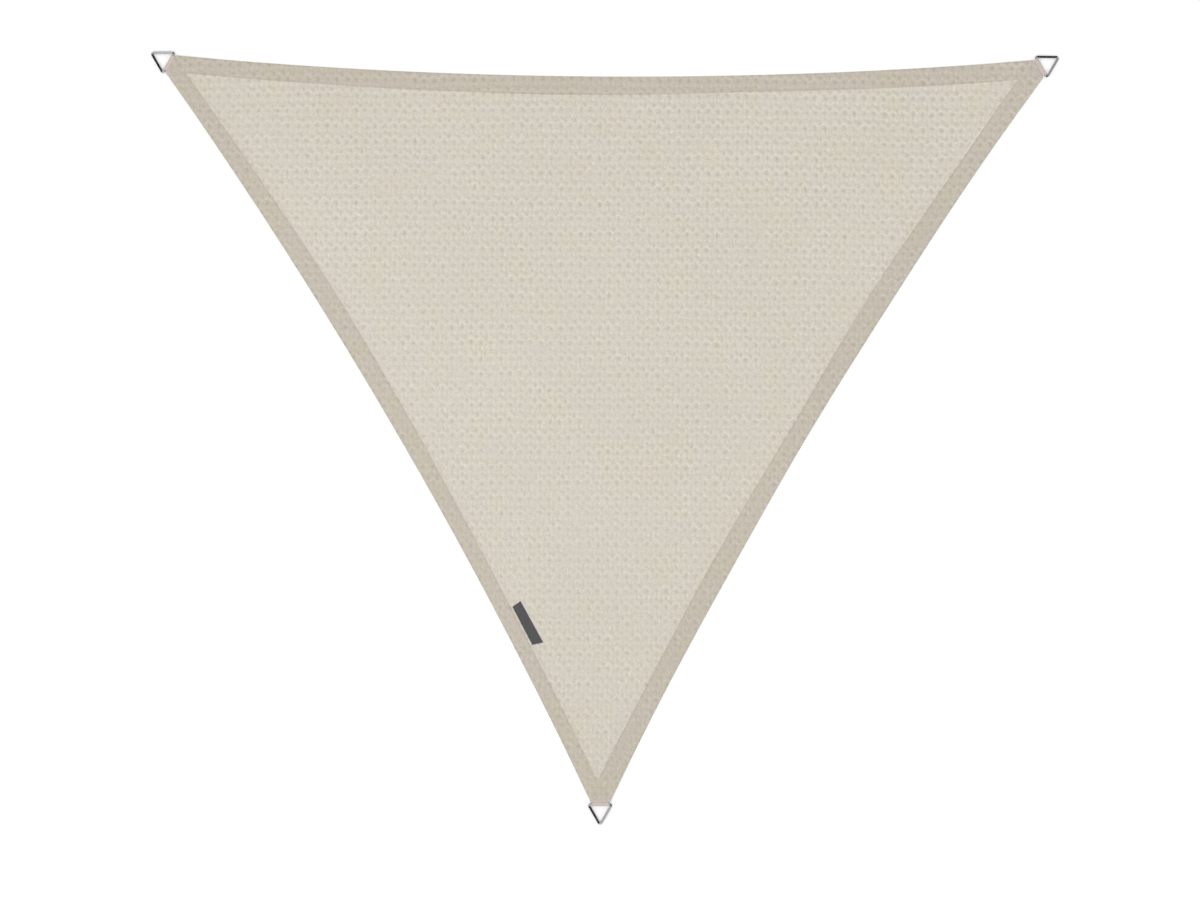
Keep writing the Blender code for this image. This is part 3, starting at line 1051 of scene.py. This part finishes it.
# Label: its mesh, its soft edge, the seam round it, and the faint ripple between stitches.
LABEL_COLUMNS = 64
LABEL_LINES = 16
LABEL_EDGE = 0.8 * MM
LABEL_EDGE_LEAST = 0.1
LABEL_SEAM = 2.2 * MM
LABEL_SEAM_DEPTH = 0.18 * MM
LABEL_SEAM_SPREAD = 0.9 * MM
LABEL_THREAD_SINK = 0.1 * MM
RIPPLE_HEIGHT = 0.12 * MM
RIPPLE_ALONG = 9 * MM
RIPPLE_INWARD = 7 * MM
RIPPLE_SHIFT = 0.8


def label_frame():
    """Middle of the label's near edge, and its directions along the side and inward."""
    arc = ARCS["left"]
    place = arc_points(arc, np.array((LABEL_FRACTION,)), np.array((LABEL_DEPTH,)))[0]
    inward = unit(place - arc.centre)
    along = np.array((-inward[1], inward[0])) * math.copysign(1.0, arc.sweep)
    return place, along, inward


def label_plan(along_share, inward_share):
    """Plan points of the label at shares of its length and depth."""
    place, along, inward = label_frame()
    near_length = LABEL_CORNERS[1].along * MM
    corners = []
    for corner in LABEL_CORNERS:
        offset = along * (corner.along * MM - near_length / 2) + inward * corner.inward * MM
        corners.append(place + offset)
    near = corners[0] + (corners[1] - corners[0]) * along_share[:, None]
    far = corners[3] + (corners[2] - corners[3]) * along_share[:, None]
    return near + (far - near) * inward_share[:, None]


def label_top(points):
    """Height of the label's face: it lies on the cloth and lifts a little between stitches."""
    place, along, inward = label_frame()
    offsets = points - place
    ripple = np.sin(offsets @ along / RIPPLE_ALONG)
    ripple *= np.sin(offsets @ inward / RIPPLE_INWARD + RIPPLE_SHIFT)
    return even_top(points) + CLEARANCE + LABEL_THICKNESS + RIPPLE_HEIGHT * ripple


def make_label(material):
    """Bare woven label sewn beside the left hem."""
    shares = [np.linspace(0, 1, steps + 1) for steps in (LABEL_COLUMNS, LABEL_LINES)]
    along, inward = [share.ravel() for share in np.meshgrid(*shares)]
    plan = label_plan(along, inward)
    from_ends = np.minimum(along, 1 - along) * LABEL_LENGTH
    from_edge = np.minimum(from_ends, np.minimum(inward, 1 - inward) * LABEL_WIDTH)
    soft = rounded_edge(from_edge / LABEL_EDGE, LABEL_EDGE_LEAST)
    groove = LABEL_SEAM_DEPTH * hump(from_edge - LABEL_SEAM, LABEL_SEAM_SPREAD)
    half = LABEL_THICKNESS / 2
    middle = label_top(plan) - half
    upper = middle + (half - groove) * soft
    lower = middle - half * soft
    points = np.concatenate([np.column_stack((plan, height)) for height in (upper, lower)])
    faces = slab_faces(LABEL_LINES, LABEL_COLUMNS)
    label = link_mesh("woven_label", points, faces, material, SHARP_WEAVE)
    if label.data.polygons[0].normal.z < 0:
        label.data.flip_normals()
    return label


def label_seam_paths():
    """Stitch lines just inside the label's four edges."""
    along = LABEL_SEAM / LABEL_LENGTH
    inward = LABEL_SEAM / LABEL_WIDTH
    along_shares = np.array((along, 1 - along, 1 - along, along, along))
    inward_shares = np.array((inward, inward, 1 - inward, 1 - inward, inward))
    corners = label_plan(along_shares, inward_shares)
    return [corners[i:i + 2] for i in range(len(LABEL_CORNERS))]


# ---- materials


# Finishes: roughness, metallic and specular shares, and the depth and strength of the bump.
Finish = namedtuple("Finish", "roughness metallic specular depth strength")
CLOTH_FINISH = Finish(0.82, 0.0, 0.25, 0.35 * MM, 0.7)
THREAD_FINISH = Finish(0.7, 0.0, 0.3, 0.1 * MM, 0.6)
STRAP_FINISH = Finish(0.78, 0.0, 0.3, 0.15 * MM, 0.8)
STEEL_FINISH = Finish(0.13, 1.0, 0.5, 0.02 * MM, 0.4)
LABEL_FINISH = Finish(0.6, 0.0, 0.35, 0.08 * MM, 0.6)
FLOOR_FINISH = Finish(0.9, 0.0, 0.0, 0.0, 0.0)

# Thread: its uneven tone, and the scale of its fibres.
THREAD_NOISE = Layer(400.0, 0.35)
FIBRE_SCALE = 2500.0

# Strap: fine ribs along it, the cross threads that they swing, how its tone varies, and its
# painted light by the pocket's mouth.
FINE_RIB = 1.3 * MM
CROSS_THREAD = 0.9 * MM
RIB_SWING = 1.2
RIB_HEIGHT = 0.25
THREAD_TONE = 0.08
STRAP_NOISE = Layer(90.0, 0.16)
STRAP_PAINTED_LIGHT = 0.15

# Steel: drawing marks, and how they change its roughness.
STEEL_NOISE = Layer(350.0, 0.08)
STEEL_DETAIL = 4.0
STEEL_UNEVEN = 0.12

# Label: slanting twill with cross threads, the painted sheen on the twill's floating threads, and
# its uneven tone.
TWILL = 0.7 * MM
TWILL_PAINTED_SHEEN = 0.18
LABEL_THREAD = 0.35 * MM
LABEL_THREAD_HEIGHT = 0.15
LABEL_TONE = 0.9
LABEL_NOISE = Layer(120.0, 0.35)


def new_material(name, finish):
    """Material with a Principled shader."""
    material = bpy.data.materials.new(name)
    material.use_nodes = True
    shader = material.node_tree.nodes["Principled BSDF"]
    put(shader.inputs["Roughness"], finish.roughness)
    put(shader.inputs["Metallic"], finish.metallic)
    put(shader.inputs["Specular IOR Level"], finish.specular)
    return material, material.node_tree, shader


def joined(values):
    """Vector or colour from its parts, of which the first is a signal."""
    inputs = dict(zip("XYZ", values))
    return new_signal(values[0].tree, "ShaderNodeCombineXYZ", "Vector", inputs)


def dress(shader, finish, channels, height):
    """Give a shader its colour, channel by channel, and its bump from a height."""
    relief = {"Height": height, "Distance": finish.depth, "Strength": finish.strength}
    put(shader.inputs["Base Color"], joined(channels))
    put(shader.inputs["Normal"], new_signal(height.tree, "ShaderNodeBump", "Normal", relief))


def shaded(colour, shade):
    """The channels of a colour times one signal."""
    return [part * shade for part in colour]


def object_place(tree):
    """Place on the object, in metres."""
    return new_signal(tree, "ShaderNodeTexCoord", "Object")


def attribute(tree, name, output="Fac"):
    """Value stored at the mesh's points."""
    return new_signal(tree, "ShaderNodeAttribute", output, attribute_name=name)


def parts(vector):
    """The three parts of a vector."""
    first = new_signal(vector.tree, "ShaderNodeSeparateXYZ", "X", {"Vector": vector})
    return [Signal(vector.tree, output) for output in first.socket.node.outputs]


def noise_texture(place, output, scale, detail):
    """Value or colour of noise over a place, from about 0 to 1."""
    inputs = {"Vector": place, "Scale": scale, "Detail": detail}
    return new_signal(place.tree, "ShaderNodeTexNoise", output, inputs)


def noise(place, scale, detail=2.0):
    """Noise around 0, from about -0.5 to 0.5."""
    return noise_texture(place, "Fac", scale, detail) - 0.5


def layered(place, *layers):
    """Sum of weighted noise layers."""
    return sum(layer.weight * noise(place, layer.scale) for layer in layers)


def wandering(place):
    """X and Y of a place, shifted a little by noise."""
    x, y, _ = parts(place)
    for layer in KNIT_WANDER:
        across, down, _ = parts(noise_texture(place, "Color", layer.scale, WANDER_DETAIL))
        x += (across - 0.5) * layer.weight
        y += (down - 0.5) * layer.weight
    return x, y


def fine_knit(wale, course):
    """Height of the fine knit: braided wales, with yarns that cross between them."""
    sway = BRAID_SWAY * calc("SINE", TURN * course)
    total = 0.0
    for leg, crossing in ((wale + sway, course + wale), (wale - sway, course - wale)):
        braid = bell(wrapped(leg) / BRAID_SPREAD)
        yarn = YARN_HEIGHT * bell(wrapped(crossing) / YARN_SPREAD)
        total = calc("MAXIMUM", total, calc("MAXIMUM", braid, yarn))
    return total


def stitch_chance(wale, course):
    """Chance value around 0 of each fine stitch."""
    number = joined([calc("FLOOR", value + 0.5) for value in (wale, course)])
    return new_signal(wale.tree, "ShaderNodeTexWhiteNoise", "Value", {"Vector": number}) - 0.5


def cloth_material():
    """Matt knitted cloth, darker where the hem doubles it, with painted shade in the knit's
    openings and gaps, painted shadow and highlight lines at the fold's inner edge, and painted
    light beside the squared ends.
    """
    material, tree, shader = new_material("shade_knit", CLOTH_FINISH)
    place = object_place(tree)
    x, y, _ = parts(place)
    across, down = cell_places(*wandering(place))
    contrast = CONTRAST_MIDDLE + CONTRAST_SLOPE[0] * x + CONTRAST_SLOPE[1] * y
    contrast = calc("MAXIMUM", contrast + layered(place, *CONTRAST_NOISE), LEAST_CONTRAST)
    # The repeat's dark marks are painted shade in the knit's openings.
    repeat = knit_tones(across, down) + knit_waves(across, down) * (1 + WAVE_SLOPE * y)
    wale = WALES_PER_CELL * across
    course = COURSES_PER_CELL * down
    knit = fine_knit(wale, course)
    # The fine knit's colour follows its height: painted shade in its gaps, painted light on its
    # yarns.
    tone = repeat * contrast + KNIT_PAINTED_SHADE * (knit - KNIT_MEAN)
    tone += STITCH_TONE * stitch_chance(wale, course) + layered(place, *TONE_NOISE)
    tone += TONE_SLOPE * x + TONE_TWIST * x * y + TONE_BOW * y * y
    # Darker at the long edges, painted shadow and highlight lines at the fold's inner edge, and
    # painted light beside the squared ends that offsets the shade there.
    for name, weight in PLACE_TONES.items():
        tone += weight * attribute(tree, name)
    doubled = attribute(tree, "doubled")
    red = 1 + layered(place, RED_NOISE)
    blue = 1 + WARM_BLUE * calc("MAXIMUM", layered(place, *WARM_NOISE), LEAST_WARM)
    channels = []
    for panel, hem, step, tint in zip(PANEL_COLOUR, HEM_COLOUR, TONE_STEPS, (red, 1.0, blue)):
        channels.append((panel + (hem - panel) * doubled) * (1 + step * tone) * tint)
    dress(shader, CLOTH_FINISH, channels, knit)
    return material


def thread_material(name, colour):
    """Twisted sewing thread."""
    material, tree, shader = new_material(name, THREAD_FINISH)
    place = object_place(tree)
    channels = shaded(colour, 1 + layered(place, THREAD_NOISE))
    dress(shader, THREAD_FINISH, channels, noise(place, FIBRE_SCALE))
    return material


def strap_material():
    """Flat woven webbing, its cross threads and fine ribs along the strap."""
    material, tree, shader = new_material("woven_strap", STRAP_FINISH)
    aside, along, paler = parts(attribute(tree, "strap_place_and_painted_light", "Vector"))
    ribs = calc("SINE", aside * (TURN / FINE_RIB))
    threads = calc("SINE", along * (TURN / CROSS_THREAD) + RIB_SWING * ribs)
    shade = 1 + layered(object_place(tree), STRAP_NOISE)
    # Painted light by the pocket's mouth offsets the shade there.
    shade += THREAD_TONE * threads + STRAP_PAINTED_LIGHT * paler
    dress(shader, STRAP_FINISH, shaded(STRAP_COLOUR, shade), 0.5 + RIB_HEIGHT * threads)
    return material


def steel_material():
    """Polished stainless wire with fine drawing marks."""
    material, tree, shader = new_material("polished_steel", STEEL_FINISH)
    marks = noise(object_place(tree), STEEL_NOISE.scale, STEEL_DETAIL)
    put(shader.inputs["Roughness"], STEEL_FINISH.roughness + STEEL_UNEVEN * marks)
    dress(shader, STEEL_FINISH, shaded(STEEL_COLOUR, 1 + STEEL_NOISE.weight * marks), marks)
    return material


def label_material():
    """Close dark weave, painted a little lighter where its threads float, as a painted sheen."""
    material, tree, shader = new_material("label_satin", LABEL_FINISH)
    place = object_place(tree)
    x, y, _ = parts(place)
    _, along, inward = label_frame()
    length = along[0] * x + along[1] * y
    depth = inward[0] * x + inward[1] * y
    twill = 0.5 + 0.5 * calc("SINE", (length + depth) * (TURN / TWILL))
    height = twill + LABEL_THREAD_HEIGHT * calc("SINE", length * (TURN / LABEL_THREAD))
    # The twill's lighter lines are a painted sheen.
    shade = LABEL_TONE + layered(place, LABEL_NOISE) + TWILL_PAINTED_SHEEN * twill
    dress(shader, LABEL_FINISH, shaded(LABEL_COLOUR, shade), height)
    return material


# ---- stage, light and camera


FLOOR_HALF = 20.0
FLOOR_DROP = 0.4 * MM
FLOOR_COLOUR = (0.96, 0.96, 0.96, 1.0)
WORLD_COLOUR = (1.0, 1.0, 1.0, 1.0)
WORLD_LIGHT = 1.0
SUN_LIGHT = 0.5
SUN_SOFTNESS = math.radians(50)
SUN_LEAN = (math.radians(28), math.radians(-18), 0.0)
CLIP_END = 100.0

# Dark hoops stand round the rings, each where one bar of polished wire mirrors it to the
# camera: the corner, the bar's direction as an angle from +X, and the hoop's tone.
HOOPS = table(
    "corner bar_angle tone",
    ("left", -58.8, 0.005),
    ("right", 0.0, 0.005),
    ("right", 61.0, 0.5),
    ("front", -60.0, 0.005),
)
HOOP_RADIUS = 1.5
HOOP_NARROW = 0.14
HOOP_WIDE = 1.0
HOOP_STEPS = 80

# Even cards under and over everything, seen only in the polished wire: half sizes, height
# and tone.
FLAT_CARDS = table(
    "half_size height tone",
    (7.0, 12.0, 0.65),
    (40.0, -4.0, 0.36),
)


def level_square(name, half_size, height, material):
    """Level square over the middle of the floor."""
    corners = ((-1, -1), (1, -1), (1, 1), (-1, 1))
    points = [(x * half_size, y * half_size, height) for x, y in corners]
    return link_mesh(name, points, [(0, 1, 2, 3)], material)


def make_floor():
    """Plain pale floor just under the sail."""
    material, _, shader = new_material("pale_floor", FLOOR_FINISH)
    put(shader.inputs["Base Color"], FLOOR_COLOUR)
    floor = level_square("floor", FLOOR_HALF, -FLOOR_DROP, material)
    floor.visible_glossy = False


def glow_material(name, tone):
    """Material that gives an even tone of its own."""
    material = bpy.data.materials.new(name)
    material.use_nodes = True
    tree = material.node_tree
    tree.nodes.remove(tree.nodes["Principled BSDF"])
    glow = new_signal(tree, "ShaderNodeEmission", 0, {"Color": (tone, tone, tone, 1.0)})
    put(tree.nodes["Material Output"].inputs["Surface"], glow)
    return material


def stage_card(card):
    """Let only reflections see a card."""
    for ray in ("camera", "diffuse", "shadow", "transmission", "volume_scatter"):
        setattr(card, f"visible_{ray}", False)


def make_hoop(name, hoop):
    """Dark hoop that one bar of a ring mirrors to the camera."""
    eye = np.array((*CAMERA_PLACE, CAMERA_HEIGHT))
    centre = np.array((*corner_frame(hoop.corner)[0], 0.0))
    sight = unit(centre - eye)
    angle = math.radians(hoop.bar_angle)
    bar = np.array((math.cos(angle), math.sin(angle), 0.0))
    aside = np.array((-math.sin(angle), math.cos(angle), 0.0))
    slope = sight @ bar
    points = []
    for turn in np.linspace(0.0, TURN, HOOP_STEPS + 1):
        round_bar = aside * math.cos(turn) + np.array((0.0, 0.0, math.sin(turn)))
        middle = centre + HOOP_RADIUS * (slope * bar + math.sqrt(1 - slope ** 2) * round_bar)
        half_width = HOOP_NARROW + (HOOP_WIDE - HOOP_NARROW) * math.cos(turn) ** 2
        points += [middle - half_width * bar, middle + half_width * bar]
    faces = [(i, i + 1, i + 3, i + 2) for i in range(0, 2 * HOOP_STEPS, 2)]
    return link_mesh(name, points, faces, glow_material(name, hoop.tone))


def make_cards():
    """Hoops and cards that only the polished wire reflects."""
    for number, hoop in enumerate(HOOPS, start=1):
        stage_card(make_hoop(f"hoop_{number}", hoop))
    for number, card in enumerate(FLAT_CARDS, start=1):
        name = f"flat_card_{number}"
        glow = glow_material(name, card.tone)
        stage_card(level_square(name, card.half_size, card.height, glow))


def make_light():
    """Even white surroundings and one broad soft light."""
    scene = bpy.context.scene
    world = bpy.data.worlds.new("studio")
    world.use_nodes = True
    background = world.node_tree.nodes["Background"]
    put(background.inputs["Color"], WORLD_COLOUR)
    put(background.inputs["Strength"], WORLD_LIGHT)
    scene.world = world
    sun = bpy.data.lights.new("soft_key", "SUN")
    sun.energy = SUN_LIGHT
    sun.angle = SUN_SOFTNESS
    lamp = bpy.data.objects.new("soft_key", sun)
    lamp.rotation_euler = SUN_LEAN
    scene.collection.objects.link(lamp)
    scene.view_settings.view_transform = "Standard"
    scene.view_settings.look = "None"


def make_camera():
    """Camera straight above the sail, looking down."""
    lens = bpy.data.cameras.new("camera")
    lens.lens = LENS
    lens.sensor_width = SENSOR
    lens.clip_end = CLIP_END
    camera = bpy.data.objects.new("camera", lens)
    camera.location = (*CAMERA_PLACE, CAMERA_HEIGHT)
    camera.rotation_euler.z = CAMERA_TURN
    bpy.context.scene.collection.objects.link(camera)
    bpy.context.scene.camera = camera


# ---- the whole scene


def place_piece(piece, slot, *nodes):
    """Tie a piece to the part's one body, and hide the nodes that it stands for. The finish that
    the slot names is not used.
    """
    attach(piece, "root")
    if nodes:
        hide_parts(*nodes)


def main():
    """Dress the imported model."""
    make_camera()
    make_light()
    make_floor()
    make_cards()
    cloth = make_cloth(cloth_material())
    place_piece(cloth, "cloth", "sail_cloth")
    thread = thread_material("hem_thread", THREAD_COLOUR)
    hem_stitches = make_stitches("hem_stitches", hem_seam_paths(), HEM_SEAM, top_height, thread)
    corner_stitches = make_stitches(
        "corner_stitches", corner_seam_paths(), CORNER_SEAM, top_height, thread
    )
    steel = steel_material()
    webbing = strap_material()
    for index, name in enumerate(CORNERS, start=1):
        strap, length = make_strap(index, name, webbing)
        place_piece(strap, "strap", f"webbing_{index}")
        ring = make_ring(index, name, steel)
        place_piece(ring, "ring_metal", f"ring_{index}")
    label = make_label(label_material())
    place_piece(label, "label", "side_label")
    label_stitches = make_stitches(
        "label_stitches",
        label_seam_paths(),
        LABEL_EDGE_SEAM,
        lambda points: label_top(points) - LABEL_THREAD_SINK,
        thread_material("label_thread", LABEL_THREAD_COLOUR),
    )
    place_piece(hem_stitches, "cloth")
    place_piece(corner_stitches, "cloth")
    place_piece(label_stitches, "label")
    edge = outline(0.0)


MEETING = meeting_points()
ARCS = {name: edge_arc(side) for name, side in SIDES.items()}
main()
